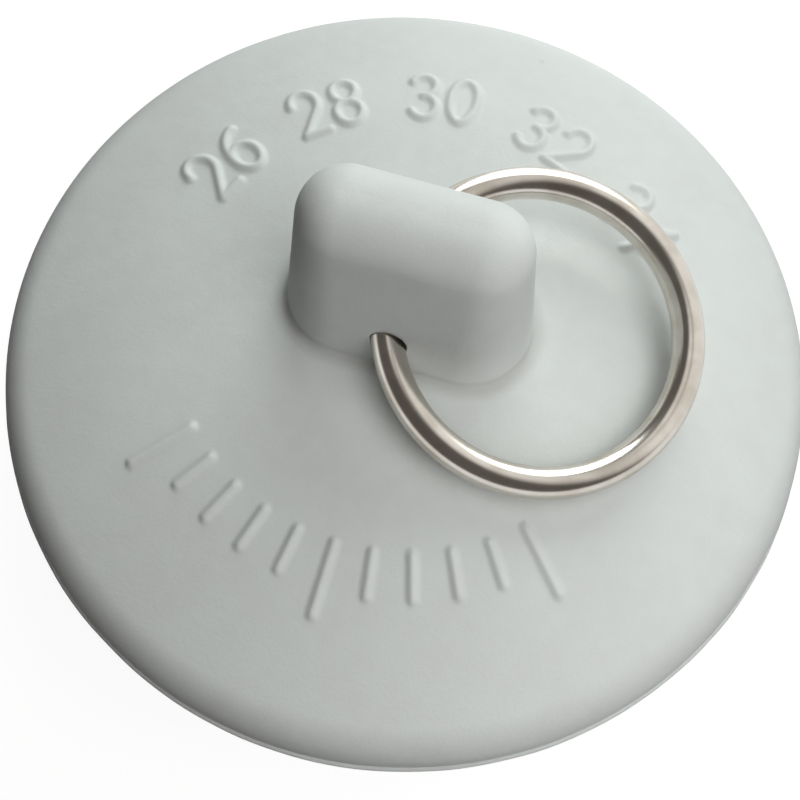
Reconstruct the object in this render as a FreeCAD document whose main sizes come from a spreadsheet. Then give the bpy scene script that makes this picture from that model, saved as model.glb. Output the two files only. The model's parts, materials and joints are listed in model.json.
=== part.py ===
# Drain stopper: one rubber moulding (crowned flange, tapered hollow plug, finger lug)
# and one ring of bent wire that swings in the eye at the foot of the lug.
# Millimetres, +Z up. The origin is the centre of the plug's end, which the stopper stands on.
# The lug's long side runs along X, the eye goes through it along Y, and the ring lies towards +X.
import FreeCAD
import Part
import Sketcher
import math
import os

from FreeCAD import Placement, Rotation, Vector

doc = FreeCAD.newDocument("drain_stopper")

# Driving sizes
SIZES = {
    # flange: the disc that covers the drain
    "flange_diameter": 44.45,
    "lip_width": 0.25,
    "lip_thickness": 0.5,
    "lip_round": 0.15,
    "edge_radius": 2.5,
    "crown_height": 5.4,
    # plug: the tapered, hollow part that wedges into the drain
    "plug_top_diameter": 35.6,
    "plug_end_diameter": 24.4,
    "plug_length": 13.0,
    "plug_root_fillet": 1.0,
    "plug_end_round": 0.8,
    "hollow_mouth_diameter": 17.4,
    "hollow_roof_diameter": 16.0,
    "hollow_depth": 10.5,
    "hollow_mouth_round": 0.5,
    "hollow_roof_round": 1.5,
    # lug: the loaf in the middle of the top, and the eye through its foot
    "lug_length": 12.8,
    "lug_width": 6.8,
    "lug_height": 9.5,
    "lug_draft": 8.0,
    "lug_top_flat": 0.3,
    "lug_root_fillet": 0.4,
    "eye_offset": 0.25,
    "eye_height": 2.4,
    "eye_slant": 7.0,
    "eye_clearance": 0.22,
    # ring: plated wire, bent round, with its ends butted inside the eye
    "wire_diameter": 1.588,
    "ring_bore": 13.5,
    "ring_joint_gap": 0.12,
    "ring_rest_clearance": 0.25,
}

sheet = doc.addObject("Spreadsheet::Sheet", "Sizes")
for row, (alias, number) in enumerate(SIZES.items(), start=1):
    sheet.set(f"A{row}", alias)
    sheet.set(f"B{row}", str(number))
    sheet.setAlias(f"B{row}", alias)
doc.recompute()

# Sizes that follow from the driving ones, as expressions on the sheet
FLANGE_RADIUS = "Sizes.flange_diameter / 2"
EDGE_FOOT = f"({FLANGE_RADIUS} - Sizes.lip_width)"
EDGE_CENTRE = f"({EDGE_FOOT} - Sizes.edge_radius)"
LIP_TOP = "(Sizes.plug_length + Sizes.lip_thickness)"
# The fillet under the flange leaves some of the seat flat, however narrow the seat is
SEAT_WIDTH = f"({FLANGE_RADIUS} - Sizes.plug_top_diameter / 2)"
SEAT_LEFT_FLAT = 0.2
PLUG_ROOT_ROUND = (
    f"min(Sizes.plug_root_fillet; (1 - {SEAT_LEFT_FLAT}) * ({SEAT_WIDTH} - Sizes.lip_round))"
)
CROWN_TOP = "(Sizes.plug_length + Sizes.crown_height)"
CROWN_RISE = "(Sizes.crown_height - Sizes.lip_thickness)"
CROWN_RADIUS = (
    f"(({EDGE_CENTRE}^2 + {CROWN_RISE}^2 - Sizes.edge_radius^2)"
    f" / (2 * ({CROWN_RISE} - Sizes.edge_radius)))"
)
# The lug's length and width are measured level with the top of the crown; its walls lean in by the draft,
# so its outline is larger where it starts, inside the flange, and narrower at its top
LUG_SIDE = "(Sizes.lug_width / 2)"
LUG_END_CENTRE = f"(Sizes.lug_length / 2 - {LUG_SIDE})"
LUG_END_RADIUS = f"({LUG_SIDE} + {CROWN_RISE} * tan(Sizes.lug_draft))"
LUG_TOP_SIDE = f"({LUG_SIDE} - Sizes.lug_height * tan(Sizes.lug_draft))"
LUG_TOP_ROUND = f"(({LUG_TOP_SIDE} - Sizes.lug_top_flat / 2) / tan(45 - Sizes.lug_draft / 2))"
EYE_LEVEL = f"({CROWN_TOP} + Sizes.eye_height)"
EYE_SIDE = f"({LUG_SIDE} - Sizes.eye_height * tan(Sizes.lug_draft))"
WIRE_RADIUS = "(Sizes.wire_diameter / 2)"
RING_RADIUS = "((Sizes.ring_bore + Sizes.wire_diameter) / 2)"
# From the swing axis to the ring's centre: the axis joins the two points where the wire leaves the lug
RING_REACH = f"sqrt({RING_RADIUS}^2 - {EYE_SIDE}^2)"
BELLY_RADIUS = f"({RING_RADIUS} + {WIRE_RADIUS} + Sizes.eye_clearance)"
WIRE_INSIDE = f"({RING_RADIUS} - {WIRE_RADIUS})"
EYE_MOUTH_RADIUS = (
    f"({RING_REACH} - sqrt({WIRE_INSIDE}^2 - {EYE_SIDE}^2) + Sizes.eye_clearance)"
)
EYE_HALF_LENGTH = f"({LUG_SIDE} + Sizes.lug_root_fillet)"
BELLY_HALF_WIDTH = f"sqrt({BELLY_RADIUS}^2 - ({RING_REACH} + {EYE_MOUTH_RADIUS})^2)"
RING_GAP_ANGLE = f"(2 * asin(Sizes.ring_joint_gap / (2 * {RING_RADIUS})))"
# The ring leans over until the lowest point of its wire meets the crown. With the crown taken as a parabola
# and s as the sine of the lean, that point's height over it is
#   REST_ROOM - RING_REACH * s - RING_RADIUS * sqrt((s - CROWN_SLOPE)^2 + sin(eye_slant)^2),
# which is zero at the root of a quadratic in s.
CROWN_DROP = f"((({RING_REACH} - Sizes.eye_offset)^2 + {RING_RADIUS}^2) / (2 * {CROWN_RADIUS}))"
CROWN_SLOPE = f"(({RING_REACH} - Sizes.eye_offset) / {CROWN_RADIUS})"
REST_ROOM = f"(Sizes.eye_height - {WIRE_RADIUS} + {CROWN_DROP} - Sizes.ring_rest_clearance)"
HALF_LINEAR = f"({REST_ROOM} * {RING_REACH} - {RING_RADIUS}^2 * {CROWN_SLOPE})"
CONSTANT = f"({RING_RADIUS}^2 * ({CROWN_SLOPE}^2 + sin(Sizes.eye_slant)^2) - {REST_ROOM}^2)"
RING_LEAN = (
    f"asin((sqrt({HALF_LINEAR}^2 - {EYE_SIDE}^2 * {CONSTANT}) - {HALF_LINEAR}) / {EYE_SIDE}^2)"
)

ON_SURFACE = 1e-4                 # how near counts as lying on a face or level when an edge is looked up
V_AXIS, H_AXIS = range(-2, 0)     # a sketch's own axes, as its constraints number them
ORIGIN = H_AXIS                   # its origin is the start of the level axis
START, END, CENTRE = range(1, 4)  # the points of a line or an arc
FULL_TURN = 360


def size(expression):
    """The present value of an expression on the sheet, for drawing a sketch near its final shape."""
    return float(sheet.evalExpression(expression))


def new_sketch(body, plane, name):
    """A sketch on one of the body's own origin planes."""
    sketch = body.newObject("Sketcher::SketchObject", name)
    support = next(item for item in body.Origin.OriginFeatures if item.Role == plane)
    sketch.AttachmentSupport = (support, [""])
    sketch.MapMode = "FlatFace"
    return sketch


def hold(sketch, *constraint):
    """Add a constraint that has no size."""
    sketch.addConstraint(Sketcher.Constraint(*constraint))


def dimension(sketch, name, constraint, expression):
    """Add a dimension and bind it to an expression on the sheet."""
    index = sketch.addConstraint(Sketcher.Constraint(*constraint, size(expression)))
    sketch.renameConstraint(index, name)
    sketch.setExpression(f"Constraints.{name}", expression)


def pin_corner(sketch, name, line, point, across, up):
    """Place a corner by its distances from the sketch's origin; a zero is held by the axis."""
    if across == "0":
        hold(sketch, "PointOnObject", line, point, V_AXIS)
    else:
        dimension(sketch, f"{name}_across", ("DistanceX", ORIGIN, START, line, point), across)
    if up == "0":
        hold(sketch, "PointOnObject", line, point, H_AXIS)
    else:
        dimension(sketch, f"{name}_up", ("DistanceY", ORIGIN, START, line, point), up)


def draw_outline(sketch, corners):
    """Straight lines from corner to corner, each corner pinned. Returns the last line's number."""
    spots = [Vector(size(across), size(up), 0) for _, across, up in corners]
    for line, (start, end) in enumerate(zip(spots, spots[1:])):
        sketch.addGeometry(Part.LineSegment(start, end))
        if line:
            hold(sketch, "Coincident", line - 1, END, line, START)
    pin_corner(sketch, corners[0][0], 0, START, *corners[0][1:])
    for line, (name, across, up) in enumerate(corners[1:]):
        pin_corner(sketch, name, line, END, across, up)
    return len(spots) - 2


def settle(sketch):
    """Solve a finished sketch and insist that nothing in it is left free."""
    doc.recompute()
    if sketch.solve() != 0 or not sketch.FullyConstrained:
        raise RuntimeError(f"sketch {sketch.Name} isn't fully held")


def edge_names(shape, test):
    """Names of the shape's edges that pass a test, leaving out the one that is only the crown's pole."""
    numbered = enumerate(shape.Edges, start=1)
    names = [f"Edge{number}" for number, edge in numbered if not edge.Degenerated and test(edge)]
    if not names:
        raise RuntimeError("no edge there to round")
    return names


def round_edges(body, name, test, radius):
    """Fillet the edges of the body's tip that pass a test."""
    doc.recompute()
    base = body.Tip
    fillet = body.newObject("PartDesign::Fillet", name)
    fillet.Base = (base, edge_names(base.Shape, test))
    fillet.setExpression("Radius", radius)
    doc.recompute()


def circle_at(radius, level):
    """Test for a full circle about Z with this radius and level."""
    def test(edge):
        curve = edge.Curve
        if not isinstance(curve, Part.Circle):
            return False
        level_off = abs(curve.Center.z - size(level))
        radius_off = abs(curve.Radius - size(radius))
        return level_off < ON_SURFACE and radius_off < ON_SURFACE
    return test


# Rubber stopper: half section of flange and plug, turned about Z
stopper = doc.addObject("PartDesign::Body", "rubber_stopper")
stopper.Label = "rubber_stopper"

section = new_sketch(stopper, "XZ_Plane", "flange_and_plug_section")
corners = [
    ("hollow_crown", "0", "Sizes.hollow_depth"),
    ("hollow_roof", "Sizes.hollow_roof_diameter / 2", "Sizes.hollow_depth"),
    ("hollow_mouth", "Sizes.hollow_mouth_diameter / 2", "0"),
    ("plug_end", "Sizes.plug_end_diameter / 2", "0"),
    ("plug_root", "Sizes.plug_top_diameter / 2", "Sizes.plug_length"),
    ("lip_under", FLANGE_RADIUS, "Sizes.plug_length"),
    ("lip_top", FLANGE_RADIUS, LIP_TOP),
    ("edge_foot", EDGE_FOOT, LIP_TOP),
]
last_line = draw_outline(section, corners)

# rolled edge, upright where it leaves the lip, then the crown, which it runs into without a corner
edge_centre = Vector(size(EDGE_CENTRE), size(LIP_TOP), 0)
crown_centre = Vector(0, size(CROWN_TOP) - size(CROWN_RADIUS), 0)
meeting_angle = math.atan2(edge_centre.y - crown_centre.y, edge_centre.x)
edge_circle = Part.Circle(edge_centre, Vector(0, 0, 1), size("Sizes.edge_radius"))
crown_circle = Part.Circle(crown_centre, Vector(0, 0, 1), size(CROWN_RADIUS))
rolled_edge = section.addGeometry(Part.ArcOfCircle(edge_circle, 0, meeting_angle))
crown = section.addGeometry(Part.ArcOfCircle(crown_circle, meeting_angle, math.pi / 2))
crown_top = Vector(0, size(CROWN_TOP), 0)
hollow_crown = Vector(0, size("Sizes.hollow_depth"), 0)
middle = section.addGeometry(Part.LineSegment(crown_top, hollow_crown))
hold(section, "Coincident", rolled_edge, START, last_line, END)
hold(section, "Horizontal", rolled_edge, CENTRE, rolled_edge, START)
hold(section, "Tangent", rolled_edge, END, crown, START)
hold(section, "PointOnObject", crown, CENTRE, V_AXIS)
hold(section, "Coincident", crown, END, middle, START)
hold(section, "Coincident", middle, END, 0, START)
dimension(section, "edge_radius", ("Radius", rolled_edge), "Sizes.edge_radius")
pin_corner(section, "crown_top", crown, END, "0", CROWN_TOP)
settle(section)

turned = stopper.newObject("PartDesign::Revolution", "flange_and_plug")
turned.Profile = section
turned.ReferenceAxis = (section, ["V_Axis"])
turned.Angle = FULL_TURN
roof_circle = circle_at("Sizes.hollow_roof_diameter / 2", "Sizes.hollow_depth")
mouth_circle = circle_at("Sizes.hollow_mouth_diameter / 2", "0")
end_circle = circle_at("Sizes.plug_end_diameter / 2", "0")
root_circle = circle_at("Sizes.plug_top_diameter / 2", "Sizes.plug_length")
lip_circles = [circle_at(FLANGE_RADIUS, level) for level in ("Sizes.plug_length", LIP_TOP)]
round_edges(stopper, "hollow_roof_round", roof_circle, "Sizes.hollow_roof_round")
round_edges(stopper, "hollow_mouth_round", mouth_circle, "Sizes.hollow_mouth_round")
round_edges(stopper, "plug_end_round", end_circle, "Sizes.plug_end_round")
round_edges(stopper, "plug_root_fillet", root_circle, PLUG_ROOT_ROUND)
for test, name in zip(lip_circles, ("lip_under_round", "lip_top_round")):
    round_edges(stopper, name, test, "Sizes.lip_round")

# Lug: a slot-shaped outline raised from inside the flange, rounded over the top and filleted at its foot
lug_outline = new_sketch(stopper, "XY_Plane", "lug_outline")
lug_outline.setExpression("AttachmentOffset.Base.z", LIP_TOP)
end_radius = size(LUG_END_RADIUS)
end_centre = Vector(size(LUG_END_CENTRE), 0, 0)
to_side = Vector(0, end_radius, 0)
right_circle = Part.Circle(end_centre, Vector(0, 0, 1), end_radius)
left_circle = Part.Circle(-end_centre, Vector(0, 0, 1), end_radius)
right_end = lug_outline.addGeometry(Part.ArcOfCircle(right_circle, -math.pi / 2, math.pi / 2))
back = lug_outline.addGeometry(Part.LineSegment(end_centre + to_side, to_side - end_centre))
left_end = lug_outline.addGeometry(Part.ArcOfCircle(left_circle, math.pi / 2, 3 * math.pi / 2))
front = lug_outline.addGeometry(Part.LineSegment(-end_centre - to_side, end_centre - to_side))
for piece, following in ((right_end, back), (back, left_end), (left_end, front), (front, right_end)):
    hold(lug_outline, "Tangent", piece, END, following, START)
hold(lug_outline, "Horizontal", back)
hold(lug_outline, "PointOnObject", right_end, CENTRE, H_AXIS)
hold(lug_outline, "Symmetric", left_end, CENTRE, right_end, CENTRE, ORIGIN, START)
dimension(lug_outline, "end_radius", ("Radius", right_end), LUG_END_RADIUS)
dimension(lug_outline, "end_centre", ("DistanceX", ORIGIN, START, right_end, CENTRE), LUG_END_CENTRE)
settle(lug_outline)

lug = stopper.newObject("PartDesign::Pad", "lug")
lug.Profile = lug_outline
lug.setExpression("Length", f"{CROWN_RISE} + Sizes.lug_height")
lug.setExpression("TaperAngle", "-Sizes.lug_draft")
doc.recompute()
lug_top = size(f"{CROWN_TOP} + Sizes.lug_height")
farthest_foot = size(f"{LUG_END_CENTRE} + {LUG_END_RADIUS}")
lug_foot_level = crown_centre.y + math.sqrt(size(CROWN_RADIUS) ** 2 - farthest_foot ** 2) - ON_SURFACE


def on_lug_top(edge):
    """Test for an edge that lies level at the top of the lug."""
    box = edge.BoundBox
    return abs(box.ZMin - lug_top) < ON_SURFACE and abs(box.ZMax - lug_top) < ON_SURFACE


def on_lug_foot(edge):
    """Test for an edge where the lug's sides meet the crown."""
    first, last = edge.ParameterRange
    spot = edge.valueAt((first + last) / 2)
    from_centre = spot.distanceToPoint(Vector(0, 0, crown_centre.y))
    return abs(from_centre - size(CROWN_RADIUS)) < ON_SURFACE and spot.z > lug_foot_level


round_edges(stopper, "lug_top_round", on_lug_top, LUG_TOP_ROUND)
round_edges(stopper, "lug_root_fillet", on_lug_foot, "Sizes.lug_root_fillet")

# Eye: the room that the wire sweeps as the ring swings, plus a clearance. It is narrow at its two mouths
# and wide in the middle: a profile above the swing axis, turned about that axis.
eye_profile = new_sketch(stopper, "YZ_Plane", "eye_profile")
slanted = Rotation(Vector(0, 0, 1), size("Sizes.eye_slant"))
eye_profile.AttachmentOffset = Placement(Vector(0, 0, 0), slanted)
eye_profile.setExpression("AttachmentOffset.Base.y", EYE_LEVEL)
eye_profile.setExpression("AttachmentOffset.Base.z", "-Sizes.eye_offset")
eye_profile.setExpression("AttachmentOffset.Rotation.Angle", "Sizes.eye_slant")
eye_corners = [
    ("belly_right", BELLY_HALF_WIDTH, EYE_MOUTH_RADIUS),
    ("mouth_right", EYE_HALF_LENGTH, EYE_MOUTH_RADIUS),
    ("axis_right", EYE_HALF_LENGTH, "0"),
    ("axis_left", f"-{EYE_HALF_LENGTH}", "0"),
    ("mouth_left", f"-{EYE_HALF_LENGTH}", EYE_MOUTH_RADIUS),
    ("belly_left", f"-{BELLY_HALF_WIDTH}", EYE_MOUTH_RADIUS),
]
last_line = draw_outline(eye_profile, eye_corners)
belly_top = Vector(0, size(f"{BELLY_RADIUS} - {RING_REACH}"), 0)
belly_right = Vector(size(BELLY_HALF_WIDTH), size(EYE_MOUTH_RADIUS), 0)
belly_left = Vector(-belly_right.x, belly_right.y, 0)
belly = eye_profile.addGeometry(Part.Arc(belly_left, belly_top, belly_right))
hold(eye_profile, "Coincident", belly, END, last_line, END)
hold(eye_profile, "Coincident", belly, START, 0, START)
dimension(eye_profile, "belly_radius", ("Radius", belly), BELLY_RADIUS)
settle(eye_profile)

before_eye = stopper.Tip.Shape.Volume
eye = stopper.newObject("PartDesign::Groove", "eye")
eye.Profile = eye_profile
eye.ReferenceAxis = (eye_profile, ["H_Axis"])
eye.Angle = FULL_TURN
doc.recompute()
if stopper.Tip.Shape.Volume >= before_eye:
    raise RuntimeError("the eye cut nothing")

# Pull ring: a round wire section turned about the ring's own axis, open by a hair inside the eye.
# Its body's origin is on the swing axis, midway through the lug.
ring = doc.addObject("PartDesign::Body", "pull_ring")
ring.Label = "pull_ring"
wire = new_sketch(ring, "XZ_Plane", "wire_section")
ring_centre = Vector(size(RING_REACH), 0, 0)
far_side = ring_centre + Vector(size(RING_RADIUS), 0, 0)
round_wire = wire.addGeometry(Part.Circle(far_side, Vector(0, 0, 1), size(WIRE_RADIUS)))
axis_end = ring_centre + Vector(0, size(LUG_SIDE), 0)
ring_axis = wire.addGeometry(Part.LineSegment(ring_centre, axis_end), True)
hold(wire, "PointOnObject", round_wire, CENTRE, H_AXIS)
hold(wire, "PointOnObject", ring_axis, START, H_AXIS)
hold(wire, "Vertical", ring_axis)
dimension(wire, "wire_radius", ("Radius", round_wire), WIRE_RADIUS)
dimension(wire, "reach", ("DistanceX", ORIGIN, START, ring_axis, START), RING_REACH)
dimension(wire, "ring_radius", ("DistanceX", ring_axis, START, round_wire, CENTRE), RING_RADIUS)
dimension(wire, "axis_length", ("DistanceY", ring_axis, START, ring_axis, END), LUG_SIDE)
settle(wire)

bent_wire = ring.newObject("PartDesign::Revolution", "bent_wire")
bent_wire.Profile = wire
bent_wire.ReferenceAxis = (wire, ["Axis0"])
bent_wire.Midplane = True
bent_wire.setExpression("Angle", f"{FULL_TURN} deg - {RING_GAP_ANGLE}")
ring.setExpression("Placement", (
    f"placement(vector(-Sizes.eye_offset; 0; {EYE_LEVEL});"
    f" rotationx(Sizes.eye_slant) * rotationy({RING_LEAN}))"
))
doc.recompute()

# Nothing is written unless every object is sound
for item in doc.Objects:
    if "Invalid" in item.State or "Error" in item.State:
        raise RuntimeError(f"{item.Name} failed: {item.State}")
os.makedirs("parts", exist_ok=True)
for body in (stopper, ring):
    shape = body.Shape
    if shape.isNull() or not shape.isValid() or len(shape.Solids) != 1:
        raise RuntimeError(f"{body.Label} isn't one sound solid")
for body in (stopper, ring):
    body.Shape.exportStep(f"parts/{body.Label}.step")
    print(f"{body.Label}: {body.Shape.Volume:.1f} mm3")
gap = stopper.Shape.distToShape(ring.Shape)[0]
print(f"ring leans {size(RING_LEAN):.2f} degrees and lies {gap:.3f} mm from the rubber")
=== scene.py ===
import json
import math

import bmesh
import bpy
from mathutils import Matrix, Vector, noise


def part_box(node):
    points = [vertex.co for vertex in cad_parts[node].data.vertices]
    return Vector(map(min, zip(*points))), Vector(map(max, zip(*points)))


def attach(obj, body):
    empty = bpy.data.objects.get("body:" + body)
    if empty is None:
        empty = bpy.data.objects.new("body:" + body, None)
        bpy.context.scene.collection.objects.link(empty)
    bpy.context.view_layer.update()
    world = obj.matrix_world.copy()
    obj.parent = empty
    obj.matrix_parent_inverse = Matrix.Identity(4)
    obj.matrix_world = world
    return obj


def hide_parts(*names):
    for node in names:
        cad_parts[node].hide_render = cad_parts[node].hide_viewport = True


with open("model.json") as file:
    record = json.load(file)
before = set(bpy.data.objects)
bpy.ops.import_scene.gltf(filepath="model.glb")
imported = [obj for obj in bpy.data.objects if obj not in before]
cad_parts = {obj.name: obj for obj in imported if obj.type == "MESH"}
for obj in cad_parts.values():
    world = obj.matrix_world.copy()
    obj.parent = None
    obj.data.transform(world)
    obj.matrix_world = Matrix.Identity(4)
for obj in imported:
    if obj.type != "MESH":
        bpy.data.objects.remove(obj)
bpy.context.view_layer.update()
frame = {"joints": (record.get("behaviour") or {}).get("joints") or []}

# Rubber stopper: flange, tapered hollow plug and finger lug in one off-white moulding.
# The two halves of its mould meet at the thin lip round the flange, which is trimmed by hand
# and a little uneven. The eye for the ring is cored through the foot of the lug.
MM = 0.001                  # lengths of the stopper and its ring are given in millimetres
_, stopper_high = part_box("rubber_stopper")

flange_radius = stopper_high.x / MM
lip_width, lip_thickness, lip_round, lip_corner = 0.25, 0.5, 0.15, 0.08
lip_unevenness = 0.09
edge_radius = 2.5
crown_height = 5.4
plug_length = 13.0
plug_top_radius, plug_end_radius = 17.8, 12.2
plug_root_fillet, plug_end_round = 1.0, 0.8
hollow_mouth_radius, hollow_roof_radius, hollow_depth = 8.7, 8.0, 10.5
hollow_mouth_round, hollow_roof_round = 0.5, 1.5
lug_length, lug_width = 12.8, 6.8       # level with the top of the crown
lug_draft = math.radians(8.0)
lug_top_flat, lug_root_fillet = 0.3, 0.4
lug_top = stopper_high.z / MM
skin_unevenness = 0.05      # how far the moulded skin wanders inwards
skin_wander = 7.0           # over about this length
trim_fineness = 2.5         # the trim of the lip wanders over a length so many times shorter

lip_top = plug_length + lip_thickness
edge_foot = flange_radius - lip_width
edge_centre = edge_foot - edge_radius
crown_top = plug_length + crown_height
crown_rise = crown_top - lip_top
crown_radius = (edge_centre ** 2 + crown_rise ** 2 - edge_radius ** 2) / 2 / (crown_rise - edge_radius)
crown_centre = crown_top - crown_radius
lug_side = lug_width / 2
lug_straight = lug_length / 2 - lug_side
lug_lean = math.tan(lug_draft)
lug_top_side = lug_side - (lug_top - crown_top) * lug_lean
lug_top_round = (lug_top_side - lug_top_flat / 2) / math.tan(math.pi / 4 - lug_draft / 2)

around = 220                # points round a loop of the mesh
refine = 4                  # times as many in the band that carries the marks
band_inner, band_outer, band_step = 11.3, 16.9, 0.11
run_step = 1.0              # longest stretch of a straight run
arc_steps = 8               # steps of a rounded corner
weld_distance = 1e-4        # points as close as this become one


def crown_level(x, y):
    """Level of the flange's crown over a point in plan."""
    return crown_centre + math.sqrt(crown_radius ** 2 - x * x - y * y)


def between(first, last, share):
    return first + (last - first) * share


def lug_station(share):
    """A place on the lug's middle line, along X, and the outward angle there, by share of the way round."""
    quarter = math.pi / 2 * lug_side
    way = share * (4 * quarter + 4 * lug_straight)
    if way < quarter:
        return lug_straight, way / lug_side
    way -= quarter
    if way < 2 * lug_straight:
        return lug_straight - way, math.pi / 2
    way -= 2 * lug_straight
    if way < 2 * quarter:
        return -lug_straight, math.pi / 2 + way / lug_side
    way -= 2 * quarter
    if way < 2 * lug_straight:
        return way - lug_straight, 3 * math.pi / 2
    way -= 2 * lug_straight
    return lug_straight, 3 * math.pi / 2 + way / lug_side


def lug_wall(level):
    """How far the lug's leaning wall stands from its middle line."""
    return lug_side - (level - crown_top) * lug_lean


def lug_column(share):
    """Points from the lug's ridge down its side, round its foot and out over the crown to the marks."""
    middle, angle = lug_station(share)
    outward = Vector((math.cos(angle), math.sin(angle), 0))

    def spot(reach, level):
        return Vector((middle, 0, level)) + outward * reach

    top_steps, side_steps, spread_steps, settling_rounds = 16, 24, 16, 5
    points = [spot(0, lug_top)]
    for step in range(top_steps + 1):
        tilt = between(math.pi / 2, lug_draft, step / top_steps)
        reach = lug_top_flat / 2 + lug_top_round * math.cos(tilt)
        points.append(spot(reach, lug_top - lug_top_round * (1 - math.sin(tilt))))
    side_top = points[-1].z
    # The middle of the fillet's arc settles between the leaning wall and the crown
    fillet_level = crown_top
    for _ in range(settling_rounds):
        fillet_reach = lug_wall(fillet_level) + lug_root_fillet / math.cos(lug_draft)
        foot = spot(fillet_reach, 0)
        slope = math.asin(foot.dot(outward) / crown_radius)
        fillet_level = crown_level(foot.x, foot.y) + lug_root_fillet / math.cos(slope)
    side_foot = fillet_level - lug_root_fillet * math.sin(lug_draft)
    for step in range(1, side_steps):
        level = between(side_top, side_foot, step / side_steps)
        points.append(spot(lug_wall(level), level))
    for step in range(arc_steps + 1):
        dip = between(lug_draft, math.pi / 2 - slope, step / arc_steps)
        reach = fillet_reach - lug_root_fillet * math.cos(dip)
        points.append(spot(reach, fillet_level - lug_root_fillet * math.sin(dip)))
    edge = points[-1]
    turn = 2 * math.pi * share
    for step in range(1, spread_steps + 1):
        x = between(edge.x, band_inner * math.cos(turn), step / spread_steps)
        y = between(edge.y, band_inner * math.sin(turn), step / spread_steps)
        points.append(Vector((x, y, crown_level(x, y))))
    return points


def rounded_run(corners):
    """A turned outline through corners of (radius, level, rounding), its runs cut into short stretches."""
    spots = [Vector(corner[:2]) for corner in corners]
    points = [spots[0]]
    for before, (spot, after), (_, _, rounding) in zip(spots, zip(spots[1:], spots[2:]), corners[1:-1]):
        arrive, leave = (spot - before).normalized(), (after - spot).normalized()
        turn = arrive.angle_signed(leave)
        setback = rounding * math.tan(abs(turn) / 2)
        side = Vector((arrive.y, -arrive.x)) if turn > 0 else Vector((-arrive.y, arrive.x))
        centre = spot - arrive * setback + side * rounding
        extend(points, spot - arrive * setback)
        for step in range(1, arc_steps + 1):
            swept = turn * step / arc_steps
            points.append(centre + Matrix.Rotation(-swept, 2) @ (-side * rounding))
    extend(points, spots[-1])
    return points


def extend(points, goal):
    """Add a straight run to the goal, cut into short stretches."""
    start = points[-1]
    stretches = max(1, math.ceil((goal - start).length / run_step))
    points.extend(start.lerp(goal, step / stretches) for step in range(1, stretches + 1))


def turned_loop(radius, level, count):
    angles = (2 * math.pi * step / count for step in range(count))
    return [Vector((radius * math.cos(angle), radius * math.sin(angle), level)) for angle in angles]


def skin(loops):
    """Faces between loops, in which a loop may have a few times as many points as its neighbour."""
    faces = []
    start = 0
    for loop, following in zip(loops, loops[1:]):
        few, many = len(loop), len(following)
        first, second = start, start + few
        if few > many:
            few, many, first, second = many, few, second, first
        ratio = many // few
        for step in range(few):
            near, far = first + step, first + (step + 1) % few
            spread = [second + (step * ratio + part) % many for part in range(ratio + 1)]
            if ratio == 1:
                faces.append((near, far, spread[1], spread[0]))
                continue
            half = ratio // 2
            faces.extend((near, spread[part], spread[part + 1]) for part in range(half))
            faces.append((near, spread[half], far))
            faces.extend((far, spread[part], spread[part + 1]) for part in range(half, ratio))
        start += len(loop)
    return faces


def smooth_step(low, high, value):
    share = min(max((value - low) / (high - low), 0.0), 1.0)
    return share * share * (3 - 2 * share)


def new_piece(name, mesh):
    piece = bpy.data.objects.new(name, mesh)
    bpy.context.scene.collection.objects.link(piece)
    return piece


columns = [lug_column(step / around) for step in range(around)]
loops = [list(loop) for loop in zip(*columns)]
band_rings = round((band_outer - band_inner) / band_step)
for step in range(1, band_rings):
    radius = between(band_inner, band_outer, step / band_rings)
    loops.append(turned_loop(radius, crown_level(radius, 0), around * refine))
edge_meeting = math.atan2(lip_top - crown_centre, edge_centre)
crown_edge = crown_radius * math.cos(edge_meeting)
crown_stretches = math.ceil((crown_edge - band_outer) / (run_step / 2))
outline = []
for step in range(crown_stretches):
    radius = between(band_outer, crown_edge, step / crown_stretches)
    outline.append(Vector((radius, crown_level(radius, 0))))
edge_steps = 2 * arc_steps
for step in range(edge_steps):
    roll = edge_meeting * (1 - step / edge_steps)
    radius = edge_centre + edge_radius * math.cos(roll)
    outline.append(Vector((radius, lip_top + edge_radius * math.sin(roll))))
outline += rounded_run([
    (edge_foot, lip_top + 2 * lip_corner, 0),
    (edge_foot, lip_top, lip_corner),
    (flange_radius, lip_top, lip_round),
    (flange_radius, plug_length, lip_round),
    (plug_top_radius, plug_length, plug_root_fillet),
    (plug_end_radius, 0, plug_end_round),
    (hollow_mouth_radius, 0, hollow_mouth_round),
    (hollow_roof_radius, hollow_depth, hollow_roof_round),
    (0, hollow_depth, 0),
])
loops += [turned_loop(radius, level, around) for radius, level in outline]

stopper_mesh = bpy.data.meshes.new("rubber_moulding")
stopper_mesh.from_pydata([point for loop in loops for point in loop], [], skin(loops), shade_flat=False)
shape = bmesh.new()
shape.from_mesh(stopper_mesh)
bmesh.ops.remove_doubles(shape, verts=shape.verts, dist=weld_distance)
bmesh.ops.recalc_face_normals(shape, faces=shape.faces)
shape.normal_update()
for vert in shape.verts:
    place = vert.co.copy()
    wander = (1 + noise.noise(place / skin_wander)) / 2
    on_top = smooth_step(lip_top, lip_top + edge_radius, place.z)
    vert.co -= vert.normal * (skin_unevenness * wander * on_top)
    from_axis = math.hypot(place.x, place.y)
    at_lip = smooth_step(edge_foot - lip_corner, flange_radius - lip_round, from_axis)
    trim = (1 + noise.noise(place / skin_wander * trim_fineness)) / 2
    if from_axis:
        vert.co.xy *= 1 - lip_unevenness * trim * at_lip / from_axis
shape.to_mesh(stopper_mesh)
shape.free()
stopper_mesh.transform(Matrix.Scale(MM, 4))
stopper = new_piece("rubber_moulding", stopper_mesh)

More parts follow.
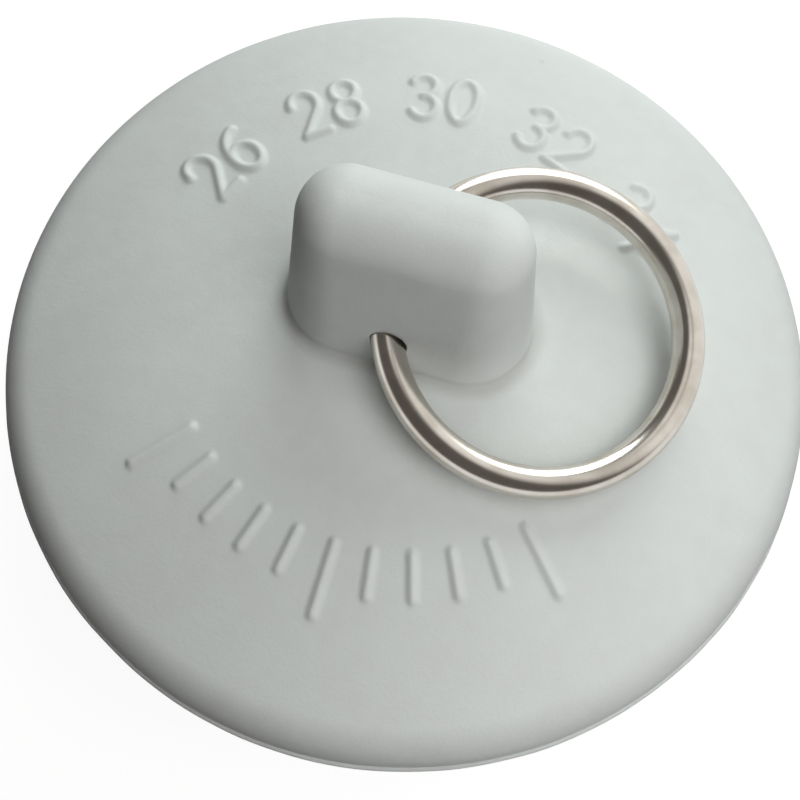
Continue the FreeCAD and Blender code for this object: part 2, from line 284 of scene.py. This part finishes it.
# Eye: the room that the wire sweeps, with a softly rounded mouth in either wall of the lug
swing = frame["joints"][0]
wire_radius, ring_radius = 0.794, 7.544
eye_clearance, eye_mouth_round = 0.04, 0.10
eye_middle = Vector(swing["pos_m"]) / MM
eye_axis = -Vector(swing["axis"])
eye_side = lug_wall(eye_middle.z)
ring_reach = math.sqrt(ring_radius ** 2 - eye_side ** 2)
wire_inside = ring_radius - wire_radius
eye_mouth_radius = ring_reach - math.sqrt(wire_inside ** 2 - eye_side ** 2) + eye_clearance
eye_belly = ring_radius + wire_radius + eye_clearance
eye_upward = Vector((1, 0, 0)).cross(eye_axis)
eye_points = 64             # round a loop of the eye


def eye_radius(along):
    """Radius of the room at a distance along its axis from the middle of the lug."""
    return max(math.sqrt(eye_belly ** 2 - along ** 2) - ring_reach, eye_mouth_radius)


def wall_along(end, reach):
    """Where a line beside the axis, so far above it, meets the lug's wall at the end -1 or 1."""
    meeting = eye_side - reach * (lug_lean * eye_upward.z + end * eye_upward.y)
    return end * meeting / (eye_axis.y + end * lug_lean * eye_axis.z)


eye_loops = []
room_steps, mouth_steps = 24, 6
for step in range(-room_steps - mouth_steps - 1, room_steps + mouth_steps + 2):
    end = 1 if step > 0 else -1
    into_mouth = min(max(abs(step) - room_steps, 0), mouth_steps) / mouth_steps
    flare = eye_mouth_round * (1 - math.cos(math.pi / 2 * into_mouth))
    loop = []
    for order in range(eye_points):
        angle = 2 * math.pi * order / eye_points
        wall = wall_along(end, (eye_mouth_radius + flare) * math.sin(angle))
        room_end = wall - end * eye_mouth_round
        along = room_end * min(abs(step) / room_steps, 1)
        reach = eye_radius(along) + flare
        along += end * eye_mouth_round * math.sin(math.pi / 2 * into_mouth)
        if abs(step) > room_steps + mouth_steps:
            along += end * lug_root_fillet
        across = Vector((reach * math.cos(angle), 0, 0)) + eye_upward * (reach * math.sin(angle))
        loop.append(eye_middle + eye_axis * along + across)
    eye_loops.append(loop)
eye_faces = skin(eye_loops)
eye_count = sum(len(loop) for loop in eye_loops)
eye_faces += [tuple(range(eye_points)), tuple(range(eye_count - eye_points, eye_count))]
core_mesh = bpy.data.meshes.new("eye_core")
core_mesh.from_pydata([point * MM for loop in eye_loops for point in loop], [], eye_faces, shade_flat=False)
core_shape = bmesh.new()
core_shape.from_mesh(core_mesh)
bmesh.ops.recalc_face_normals(core_shape, faces=core_shape.faces)
core_shape.to_mesh(core_mesh)
core_shape.free()
core = new_piece("eye_core", core_mesh)
piercing = stopper.modifiers.new("eye", "BOOLEAN")
piercing.operation = "DIFFERENCE"
piercing.solver = "EXACT"
piercing.object = core

# Marks on the crown: plain numbers of drain sizes and a row of size ticks, cut into the mould
# with a round-nosed cutter, so each stands proud as a soft ridge with rounded ends.
mark_height, mark_half_width = 0.23, 0.40
numbers = ("26", "28", "30", "32", "34")
number_foot, digit_height, digit_width, digit_pitch = 12.2, 3.2, 1.55, 2.3
first_number, number_sweep = math.radians(154), math.radians(-112)
tick_count, tick_foot, tick_length = 11, 12.4, 3.4
first_tick, tick_sweep = math.radians(226), math.radians(87)
long_tick_every, short_tick = 5, 0.6    # a short tick's share of a long one's length


def bow(x, y, half_width, half_height, start, end):
    """Part of an ellipse in a digit's cell, which is 1 wide about its middle and 1 high."""
    steps = 24
    angles = (math.radians(between(start, end, step / steps)) for step in range(steps + 1))
    return [(x + half_width * math.cos(angle), y + half_height * math.sin(angle)) for angle in angles]


digit_strokes = {
    "0": [bow(0, 0.5, 0.5, 0.5, 0, 360)],
    "2": [bow(0, 0.7, 0.47, 0.3, 170, -38) + [(-0.5, 0), (0.5, 0)]],
    "3": [bow(0, 0.76, 0.43, 0.24, 155, -90), bow(0, 0.26, 0.5, 0.26, 90, -155)],
    "4": [[(0.2, 0), (0.2, 1), (-0.5, 0.3), (0.5, 0.3)]],
    "6": [bow(0, 0.3, 0.5, 0.3, 0, 360), bow(0.5, 0.3, 1, 0.7, 180, 100)],
    "8": [bow(0, 0.76, 0.42, 0.24, 0, 360), bow(0, 0.26, 0.5, 0.26, 0, 360)],
}
stroke_points, stroke_edges = [], []
for order, number in enumerate(numbers):
    middle = first_number + number_sweep * order / (len(numbers) - 1)
    for place, digit in enumerate(number):
        shift = (place - (len(number) - 1) / 2) * digit_pitch
        for stroke in digit_strokes[digit]:
            for x, y in stroke:
                turn = middle - (x * digit_width + shift) / (number_foot + digit_height / 2)
                reach = (number_foot + y * digit_height) * MM
                stroke_points.append((reach * math.cos(turn), reach * math.sin(turn), 0))
            last = len(stroke_points) - 1
            stroke_edges += [(point, point + 1) for point in range(last - len(stroke) + 1, last)]
numeral_mesh = bpy.data.meshes.new("numeral_strokes")
numeral_mesh.from_pydata(stroke_points, stroke_edges, [])
numerals = new_piece("numeral_strokes", numeral_mesh)


class Signal:
    """An output of a node. Arithmetic on it adds Math nodes to the same tree."""

    def __init__(self, tree, socket=None):
        self.tree = tree
        self.socket = socket

    def node(self, kind, settings=None, inputs=None, output=0):
        """Add a node, set its settings, then set or link its inputs, and return one of its outputs."""
        made = self.tree.nodes.new(kind)
        for name, value in (settings or {}).items():
            setattr(made, name, value)
        for key, value in (inputs or {}).items():
            for each in value if isinstance(value, list) else [value]:
                if isinstance(each, Signal):
                    self.tree.links.new(each.socket, made.inputs[key])
                else:
                    made.inputs[key].default_value = each
        return Signal(self.tree, made.outputs[output] if len(made.outputs) else None)

    def other(self, output):
        """Another output of the same node."""
        return Signal(self.tree, self.socket.node.outputs[output])

    def math(self, operation, *values):
        return self.node("ShaderNodeMath", {"operation": operation}, dict(enumerate(values)))

    def vector(self, operation, *values):
        return self.node("ShaderNodeVectorMath", {"operation": operation}, dict(enumerate(values)))

    def __add__(self, value):
        return self.math("ADD", self, value)

    def __sub__(self, value):
        return self.math("SUBTRACT", self, value)

    def __rsub__(self, value):
        return self.math("SUBTRACT", value, self)

    def __mul__(self, value):
        return self.math("MULTIPLY", self, value)

    def __truediv__(self, value):
        return self.math("DIVIDE", self, value)

    __radd__ = __add__
    __rmul__ = __mul__

    def fade(self, start, end):
        """1 at start and 0 at end, easing between."""
        ease = {"interpolation_type": "SMOOTHSTEP"}
        ends = {"Value": self, "From Min": start, "From Max": end, "To Min": 1.0, "To Max": 0.0}
        return self.node("ShaderNodeMapRange", ease, ends)

    def blend(self, first, second):
        """A colour between two, by this share."""
        # Sockets 6 and 7 of a Mix node, and its output 2, are the ones for colours
        return self.node("ShaderNodeMix", {"data_type": "RGBA"}, {0: self, 6: first, 7: second}, 2)


def new_tree(name, inputs):
    """An empty Geometry Nodes tree with named inputs. Returns it and its first input."""
    tree = bpy.data.node_groups.new(name, "GeometryNodeTree")
    tree.is_modifier = True
    tree.interface.new_socket(name="Geometry", in_out="OUTPUT", socket_type="NodeSocketGeometry")
    tree.interface.new_socket(name="Geometry", in_out="INPUT", socket_type="NodeSocketGeometry")
    for label, kind in inputs.items():
        tree.interface.new_socket(name=label, in_out="INPUT", socket_type="NodeSocket" + kind)
    return tree, Signal(tree).node("NodeGroupInput")


def grow(piece, tree, values):
    """Run a tree on a piece with these inputs, after its other modifiers, and keep a plain mesh."""
    modifier = piece.modifiers.new(tree.name, "NODES")
    modifier.node_group = tree
    for item in tree.interface.items_tree:
        if item.in_out == "INPUT" and item.name in values:
            modifier[item.identifier] = values[item.name]
    bpy.context.view_layer.update()
    made = bpy.data.meshes.new_from_object(piece.evaluated_get(bpy.context.evaluated_depsgraph_get()))
    piece.modifiers.clear()
    made.name = piece.name
    piece.data = made


def new_material(name):
    """A material with its nodes cleared away. Returns it and a way to add nodes to it."""
    material = bpy.data.materials.new(name)
    material.use_nodes = True
    material.node_tree.nodes.clear()
    return material, Signal(material.node_tree)


marks_tree, given = new_tree("moulded marks", {
    "Numerals": "Object",
    "Ticks": "Int",
    "Tick Foot": "Float",
    "Tick Length": "Float",
    "First Tick": "Float",
    "Tick Sweep": "Float",
    "Height": "Float",
    "Half Width": "Float",
    "Rubber": "Material",
})
tick_row_points, equal_within, least_upward = 64, 0.1, 0.5
tick_row = given.node("GeometryNodeCurveArc", {"mode": "RADIUS"}, {
    "Resolution": tick_row_points,
    "Radius": given.other("Tick Foot"),
    "Start Angle": given.other("First Tick"),
    "Sweep Angle": given.other("Tick Sweep"),
})
tick_feet = given.node("GeometryNodeCurveToPoints", {"mode": "COUNT"}, {
    0: tick_row,
    "Count": given.other("Ticks"),
})
tick_order = given.node("GeometryNodeInputIndex")
long_tick = given.math("COMPARE", given.math("MODULO", tick_order, long_tick_every), 0, equal_within)
tick_reach = given.other("Tick Length") * (short_tick + long_tick * (1 - short_tick))
at_point = given.node("GeometryNodeInputPosition")
tick_turn = given.node("FunctionNodeAlignRotationToVector", {"axis": "X"}, {"Vector": at_point})
tick_line = given.node("GeometryNodeCurvePrimitiveLine", {"mode": "POINTS"}, {
    "Start": (0, 0, 0),
    "End": (1, 0, 0),
})
tick_scale = given.node("ShaderNodeCombineXYZ", {}, {"X": tick_reach, "Y": 1.0, "Z": 1.0})
tick_lines = given.node("GeometryNodeInstanceOnPoints", {}, {
    "Points": tick_feet,
    "Instance": tick_line,
    "Rotation": tick_turn,
    "Scale": tick_scale,
})
tick_strokes = given.node("GeometryNodeRealizeInstances", {}, {0: tick_lines})
tick_edges = given.node("GeometryNodeCurveToMesh", {}, {0: tick_strokes})
numeral_edges = given.node("GeometryNodeObjectInfo", {"transform_space": "ORIGINAL"}, {
    "Object": given.other("Numerals"),
}, "Geometry")
strokes = given.node("GeometryNodeJoinGeometry", {}, {0: [tick_edges, numeral_edges]})
in_plan = given.vector("MULTIPLY", at_point, (1, 1, 0))
to_stroke = given.node("GeometryNodeProximity", {"target_element": "EDGES"}, {
    0: strokes,
    "Sample Position": in_plan,
}, "Distance")
ridge = to_stroke.fade(0.0, given.other("Half Width")) * given.other("Height")
facing = given.node("GeometryNodeInputNormal")
upward = given.node("ShaderNodeSeparateXYZ", {}, {0: facing}, "Z")
facing_up = given.math("GREATER_THAN", upward, least_upward)
lifted = given.node("GeometryNodeSetPosition", {}, {
    "Geometry": given,
    "Selection": facing_up,
    "Offset": given.node("ShaderNodeVectorMath", {"operation": "SCALE"}, {0: facing, "Scale": ridge}),
})
whole = given.node("GeometryNodeRealizeInstances", {}, {0: lifted})
coated = given.node("GeometryNodeSetMaterial", {}, {"Geometry": whole, "Material": given.other("Rubber")})
given.node("NodeGroupOutput", {}, {0: coated})

# The rubber itself: chalky off-white, faintly mottled where filler shows, with a fine matt grain from the
# # mould, a few dark specks, and painted shade that darkens the corner round the foot of the lug.
chalk, dull_chalk = (0.715, 0.750, 0.735, 1), (0.695, 0.722, 0.708, 1)
filler_tint, filler_share = (0.735, 0.778, 0.760, 1), 0.25
# Painted shade in the corner round the lug's foot: its tone, its strength, and where it lies
foot_shade_tone, foot_shade_share = (0.36, 0.35, 0.33, 1), 0.35
foot_shade_middle, foot_shade_reach = 0.15, 0.75          # out from the lug's wall
foot_shade_full_level, foot_shade_top_level = 0.05, 0.5   # above the top of the crown
speck_tone, speck_share = (0.25, 0.25, 0.24, 1), 0.6
speck_core, speck_edge = 0.02, 0.05             # shares of a cell, of which about two in five have a speck
rubber_roughness, roughness_spread = 0.52, 0.16
grain_depth, cloud_relief = 0.03, 2.0
bleed_depth = 0.8                               # how far light strays inside the rubber
rubber, paint = new_material("white_rubber")
place = paint.node("ShaderNodeTexCoord", {}, {}, "Object")
place_mm = paint.node("ShaderNodeVectorMath", {"operation": "SCALE"}, {0: place, "Scale": 1 / MM})
mottle = paint.node("ShaderNodeTexNoise", {}, {"Vector": place_mm, "Scale": 0.22, "Detail": 4.0})
cloud = paint.node("ShaderNodeTexNoise", {}, {"Vector": place_mm, "Scale": 0.9, "Detail": 3.0})
grain = paint.node("ShaderNodeTexNoise", {}, {"Vector": place_mm, "Scale": 6.0, "Detail": 3.0})
speck_cell = paint.node("ShaderNodeTexVoronoi", {}, {"Vector": place_mm, "Scale": 0.2}, "Distance")
speck_chance = paint.node("ShaderNodeSeparateColor", {}, {0: speck_cell.other("Color")}, "Red")
speck = speck_cell.fade(speck_core, speck_edge) * (1 - speck_chance.fade(0.55, 0.6))
across = paint.node("ShaderNodeSeparateXYZ", {}, {0: place_mm}, "X")
beyond = paint.math("MAXIMUM", paint.math("ABSOLUTE", across) - lug_straight, 0.0)
side = across.other("Y")
from_lug = paint.math("SQRT", beyond * beyond + side * side) - lug_side
# Painted shade: darkest in the corner round the lug's foot, fading outwards and up the wall
corner = paint.math("ABSOLUTE", from_lug - foot_shade_middle).fade(0.0, foot_shade_reach)
corner = corner * (across.other("Z") - crown_top).fade(foot_shade_full_level, foot_shade_top_level)
tone = mottle.fade(0.35, 0.7).blend(chalk, dull_chalk)
tone = (cloud.fade(0.62, 0.42) * filler_share).blend(tone, filler_tint)
# Blend in the painted shade round the foot of the lug
tone = (corner * foot_shade_share).blend(tone, foot_shade_tone)
tone = (speck * speck_share).blend(tone, speck_tone)
relief = paint.node("ShaderNodeBump", {}, {
    "Strength": 0.35,
    "Distance": grain_depth * MM,
    "Height": grain + cloud * cloud_relief,
})
surface = paint.node("ShaderNodeBsdfPrincipled", {}, {
    "Base Color": tone,
    "Roughness": rubber_roughness + cloud * roughness_spread,
    "Specular IOR Level": 0.08,
    "Subsurface Weight": 0.18,
    "Subsurface Radius": (1.0, 0.95, 0.9),
    "Subsurface Scale": bleed_depth * MM,
    "Normal": relief,
})
paint.node("ShaderNodeOutputMaterial", {}, {"Surface": surface})

grow(stopper, marks_tree, {
    "Numerals": numerals,
    "Ticks": tick_count,
    "Tick Foot": tick_foot * MM,
    "Tick Length": tick_length * MM,
    "First Tick": first_tick,
    "Tick Sweep": tick_sweep,
    "Height": mark_height * MM,
    "Half Width": mark_half_width * MM,
    "Rubber": rubber,
})
for helper in (core, numerals):
    bpy.data.objects.remove(helper)
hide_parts("rubber_stopper")
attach(stopper, "stopper")

# Pull ring: one turn of bright nickel-plated steel wire, bent round a mandrel and closed end to end.
# The ends butt inside the eye, out of sight, and the plating shows the wire's drawn streaks.
ring_gap = math.radians(0.87)
ring_stretches, wire_sides = 288, 40
stained_nickel, clean_nickel = (0.58, 0.535, 0.475, 1), (0.70, 0.665, 0.61, 1)
plating_roughness, stain_roughness = 0.14, 0.12
streak_depth = 0.01
streak_run = 0.5            # streaks change this fast along the wire, beside 1 across it
ring_low, ring_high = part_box("pull_ring")
ring_middle = (ring_low + ring_high) / 2
reach_way = (ring_middle - Vector(swing["pos_m"])).normalized()
ring_face = reach_way.cross(eye_axis).normalized()
ring_frame = Matrix((reach_way, ring_face.cross(reach_way), ring_face)).transposed()

ring_tree, given = new_tree("bent wire", {
    "Ring Radius": "Float",
    "Wire Radius": "Float",
    "Joint Gap": "Float",
    "Plating": "Material",
})
bend = given.node("GeometryNodeCurveArc", {"mode": "RADIUS"}, {
    "Resolution": ring_stretches,
    "Radius": given.other("Ring Radius"),
    "Start Angle": math.pi + given.other("Joint Gap") / 2,
    "Sweep Angle": 2 * math.pi - given.other("Joint Gap"),
})
wire_section = given.node("GeometryNodeCurvePrimitiveCircle", {"mode": "RADIUS"}, {
    "Resolution": wire_sides,
    "Radius": given.other("Wire Radius"),
})
bent_wire = given.node("GeometryNodeCurveToMesh", {}, {
    "Curve": bend,
    "Profile Curve": wire_section,
    "Fill Caps": True,
})
whole = given.node("GeometryNodeRealizeInstances", {}, {0: bent_wire})
plated = given.node("GeometryNodeSetMaterial", {}, {"Geometry": whole, "Material": given.other("Plating")})
given.node("NodeGroupOutput", {}, {0: plated})

plating, paint = new_material("plated_wire")
place = paint.node("ShaderNodeTexCoord", {}, {}, "Object")
in_ring = paint.node("ShaderNodeMapping", {"vector_type": "TEXTURE"}, {
    "Vector": place,
    "Location": ring_middle,
    "Rotation": ring_frame.to_euler(),
})
along_x = paint.node("ShaderNodeSeparateXYZ", {}, {0: in_ring}, "X")
along_y, above = along_x.other("Y"), along_x.other("Z")
outward = paint.math("SQRT", along_x * along_x + along_y * along_y) - ring_radius * MM
way_round = paint.math("ARCTAN2", along_y, along_x)
streak_place = paint.node("ShaderNodeCombineXYZ", {}, {
    "X": outward / (wire_radius * MM),
    "Y": above / (wire_radius * MM),
    "Z": way_round * streak_run,
})
streak = paint.node("ShaderNodeTexNoise", {}, {"Vector": streak_place, "Scale": 9.0, "Detail": 3.0})
stain = paint.node("ShaderNodeTexNoise", {}, {"Vector": place, "Scale": 420.0, "Detail": 4.0})
drawn_skin = paint.node("ShaderNodeBump", {}, {
    "Strength": 0.10,
    "Distance": streak_depth * MM,
    "Height": streak,
})
metal = paint.node("ShaderNodeBsdfPrincipled", {}, {
    "Base Color": stain.fade(0.38, 0.66).blend(stained_nickel, clean_nickel),
    "Metallic": 1.0,
    "Roughness": plating_roughness + stain * stain_roughness,
    "Normal": drawn_skin,
})
paint.node("ShaderNodeOutputMaterial", {}, {"Surface": metal})

ring = new_piece("bent_wire_ring", bpy.data.meshes.new("bent_wire_ring"))
grow(ring, ring_tree, {
    "Ring Radius": ring_radius * MM,
    "Wire Radius": wire_radius * MM,
    "Joint Gap": ring_gap,
    "Plating": plating,
})
ring.data.transform(Matrix.Translation(ring_middle) @ ring_frame.to_4x4())
ring.data.shade_smooth()
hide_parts("pull_ring")
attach(ring, "ring")

# Floor: a pale sweep that reads white to the camera and in the plating, and dim to the rubber,
# so that the underside of the flange's edge stays dark. It keeps the stopper's own shadow.
floor_half = 1.5            # metres
white = (1, 1, 1, 1)
floor_glow, floor_grey, floor_dim = 0.9, (0.22, 0.22, 0.22, 1), (0.04, 0.038, 0.036, 1)
floor_corners = [(floor_half * x, floor_half * y, 0) for x, y in ((-1, -1), (1, -1), (1, 1), (-1, 1))]
floor_mesh = bpy.data.meshes.new("floor")
floor_mesh.from_pydata(floor_corners, [], [(0, 1, 2, 3)])
floor = new_piece("floor", floor_mesh)


def seen_rays(paint):
    """Masks of the camera's own rays, and of these with the rays that mirror and pass through."""
    camera_ray = paint.node("ShaderNodeLightPath", {}, {}, "Is Camera Ray")
    glossy_ray, passing_ray = camera_ray.other("Is Glossy Ray"), camera_ray.other("Is Transmission Ray")
    return camera_ray, paint.math("MAXIMUM", camera_ray, paint.math("MAXIMUM", glossy_ray, passing_ray))


floor_paint, paint = new_material("pale_floor")
_, seen = seen_rays(paint)
dim = paint.node("ShaderNodeBsdfDiffuse", {}, {"Color": floor_dim})
pale = paint.node("ShaderNodeAddShader", {}, {
    0: paint.node("ShaderNodeBsdfDiffuse", {}, {"Color": floor_grey}),
    1: paint.node("ShaderNodeEmission", {}, {"Color": white, "Strength": floor_glow}),
})
floor_surface = paint.node("ShaderNodeMixShader", {}, {0: seen, 1: dim, 2: pale})
paint.node("ShaderNodeOutputMaterial", {}, {"Surface": floor_surface})
floor_mesh.materials.append(floor_paint)

# Light: soft boxes close to the stopper, as for a product picture: one over its right side, one low
# behind it, a weak one in front on the right, and a glowing card under the flange that shows the plug.
# The plating mirrors only the box behind, and a dim room with a window and a ceiling lamp.
lit_point = Vector((0, 0, crown_top * MM))
card_lift = 0.0002          # metres over the floor


def add_light(name, turn, rise, distance, size, power, colour, mirrored):
    """A round soft box that faces the stopper from a direction in degrees, with its lengths in metres."""
    lamp = bpy.data.lights.new(name, "AREA")
    lamp.shape = "DISK"
    lamp.size = size
    lamp.energy = power
    lamp.color = colour
    turn, rise = math.radians(turn), math.radians(rise)
    way = Vector((math.cos(rise) * math.cos(turn), math.cos(rise) * math.sin(turn), math.sin(rise)))
    holder = bpy.data.objects.new(name, lamp)
    holder.location = lit_point + way * distance
    holder.rotation_mode = "QUATERNION"
    holder.rotation_quaternion = way.to_track_quat("Z", "Y")
    holder.visible_camera = False
    holder.visible_glossy = mirrored
    bpy.context.scene.collection.objects.link(holder)


add_light("overhead", turn=0, rise=71, distance=0.10, size=0.09, power=0.043,
          colour=(1.0, 1.0, 0.98), mirrored=False)
add_light("behind", turn=88, rise=28, distance=0.12, size=0.108, power=0.113,
          colour=(0.96, 1.0, 0.985), mirrored=True)
add_light("front", turn=318, rise=36, distance=0.055, size=0.05, power=0.0100,
          colour=(1.0, 0.985, 0.985), mirrored=False)
add_light("card", turn=0, rise=-90, distance=crown_top * MM - card_lift, size=2 * flange_radius * MM,
          power=0.0022, colour=(1.0, 1.0, 1.0), mirrored=False)

world = bpy.data.worlds.new("room")
bpy.context.scene.world = world
world.use_nodes = True
world.node_tree.nodes.clear()
paint = Signal(world.node_tree)
camera_ray, seen = seen_rays(paint)
room_way = paint.node("ShaderNodeTexCoord", {}, {}, "Generated")
backdrop = paint.node("ShaderNodeSeparateXYZ", {}, {0: room_way}, "Z").fade(0.12, 0.3)


def glow(toward, full, none):
    """A soft bright patch of the room about a direction, between two cosines."""
    inputs = {0: room_way, 1: Vector(toward).normalized()}
    cosine = paint.node("ShaderNodeVectorMath", {"operation": "DOT_PRODUCT"}, inputs, "Value")
    return cosine.fade(full, none)


room_walls, room_lights = (0.125, 0.116, 0.108, 1), (1.0, 0.98, 0.95, 1)
dim_fill = (0.016, 0.012, 0.010, 1)     # the room's light on the rubber, beside the soft boxes
window = glow(toward=(0.72, 0.42, 0.55), full=0.90, none=0.64)
ceiling_lamp = glow(toward=(-0.05, 0.22, 0.97), full=0.992, none=0.95)
bright = paint.math("MAXIMUM", window, ceiling_lamp)
mirrored_room = backdrop.blend(bright.blend(room_walls, room_lights), white)
room_tone = seen.blend(dim_fill, camera_ray.blend(mirrored_room, white))
room = paint.node("ShaderNodeBackground", {}, {"Color": room_tone, "Strength": 1.0})
paint.node("ShaderNodeOutputWorld", {}, {"Surface": room})

# Camera: a close view from in front and above, with the picture a little rolled. Its distance and
# the points that it looks at and is measured from are in millimetres, as the stopper's sizes are.
view_tilt, view_turn, view_roll = math.radians(24.6), math.radians(12.8), math.radians(3.15)
view_distance = 46.0
view_aim = Vector((0.88, -4.64, 17.6))
view_focus = Vector((0, 0, 17.6))
lens, sensor = 39.8, 36.0
view_across = math.sin(view_tilt)
away = Vector((view_across * math.sin(view_turn), -view_across * math.cos(view_turn), math.cos(view_tilt)))
camera_place = view_focus + away * view_distance
camera_data = bpy.data.cameras.new("camera")
camera_data.lens = lens
camera_data.sensor_width = sensor
camera_data.clip_start = 0.002
camera = bpy.data.objects.new("camera", camera_data)
bpy.context.scene.collection.objects.link(camera)
camera.location = camera_place * MM
looking = (view_aim - camera_place).to_track_quat("-Z", "Y").to_matrix()
camera.rotation_euler = (looking @ Matrix.Rotation(view_roll, 3, "Z")).to_euler()
bpy.context.scene.camera = camera

bpy.context.scene.view_settings.view_transform = "Standard"
